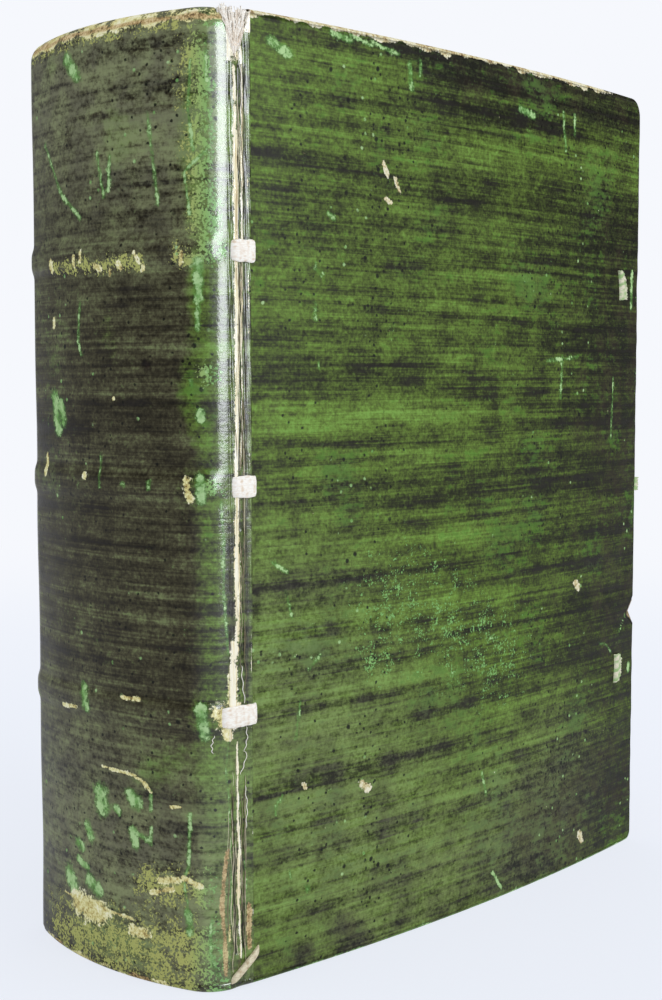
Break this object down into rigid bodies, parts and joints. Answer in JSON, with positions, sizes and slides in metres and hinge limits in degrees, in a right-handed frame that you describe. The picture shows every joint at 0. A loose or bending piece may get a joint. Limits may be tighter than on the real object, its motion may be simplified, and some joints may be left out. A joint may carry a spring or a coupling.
{
  "type": "antique book",
  "caption": "Thick antique quarto book in a laced case of green-stained parchment, standing closed on its tail edges; both covers open on the spine joints.",
  "frame": {"origin": "under the middle of the whole closed book, on the surface that its tail edges stand on", "axes": "+X from the spine towards the fore edge, +Y from the front cover towards the back cover, +Z from tail to head"},
  "size_m": [0.1772, 0.0762, 0.215],
  "materials": {
    "text_block": "matte",
    "front_flyleaf": "matte",
    "back_flyleaf": "matte",
    "spine_lining_tail": "matte",
    "spine_lining_lower": "matte",
    "spine_lining_upper": "matte",
    "spine_lining_head": "matte",
    "sewing_support_upper": "matte",
    "sewing_support_middle": "matte",
    "sewing_support_lower": "matte",
    "head_endband": "matte",
    "tail_endband": "matte",
    "spine_covering": "glossy",
    "front_board": "matte",
    "front_covering": "glossy",
    "front_pastedown": "matte",
    "front_slip_upper": "matte",
    "front_slip_middle": "matte",
    "front_slip_lower": "matte",
    "front_tie_upper": "matte",
    "front_tie_lower": "matte",
    "front_tie_stub": "matte",
    "front_endband_slip_tail": "matte",
    "back_board": "matte",
    "back_covering": "glossy",
    "back_pastedown": "matte",
    "back_slip_upper": "matte",
    "back_slip_middle": "matte",
    "back_slip_lower": "matte",
    "back_tie_upper": "matte",
    "back_tie_lower": "matte",
    "back_endband_slip_tail": "matte",
    "back_endband_slip_head": "matte"
  },
  "bodies": {
    "book": {"text_block": "text_block", "front_flyleaf": "front_flyleaf", "back_flyleaf": "back_flyleaf", "spine_lining_tail": "spine_lining_tail", "spine_lining_lower": "spine_lining_lower", "spine_lining_upper": "spine_lining_upper", "spine_lining_head": "spine_lining_head", "sewing_support_upper": "sewing_support_upper", "sewing_support_middle": "sewing_support_middle", "sewing_support_lower": "sewing_support_lower", "head_endband": "head_endband", "tail_endband": "tail_endband", "spine_covering": "spine_covering"},
    "front_cover": {"front_board": "front_board", "front_covering": "front_covering", "front_pastedown": "front_pastedown", "front_slip_upper": "front_slip_upper", "front_slip_middle": "front_slip_middle", "front_slip_lower": "front_slip_lower", "front_tie_upper": "front_tie_upper", "front_tie_lower": "front_tie_lower", "front_tie_stub": "front_tie_stub", "front_endband_slip_tail": "front_endband_slip_tail"},
    "back_cover": {"back_board": "back_board", "back_covering": "back_covering", "back_pastedown": "back_pastedown", "back_slip_upper": "back_slip_upper", "back_slip_middle": "back_slip_middle", "back_slip_lower": "back_slip_lower", "back_tie_upper": "back_tie_upper", "back_tie_lower": "back_tie_lower", "back_endband_slip_tail": "back_endband_slip_tail", "back_endband_slip_head": "back_endband_slip_head"}
  },
  "joints": [
    {"name": "front_cover_hinge", "type": "hinge", "parent": "book", "child": "front_cover", "pos_m": [-0.07445, -0.03455, 0.1075], "axis": [0, 0, -1], "range_deg": [0, 180]},
    {"name": "back_cover_hinge", "type": "hinge", "parent": "book", "child": "back_cover", "pos_m": [-0.07445, 0.03455, 0.1075], "axis": [0, 0, 1], "range_deg": [0, 180]}
  ]
}
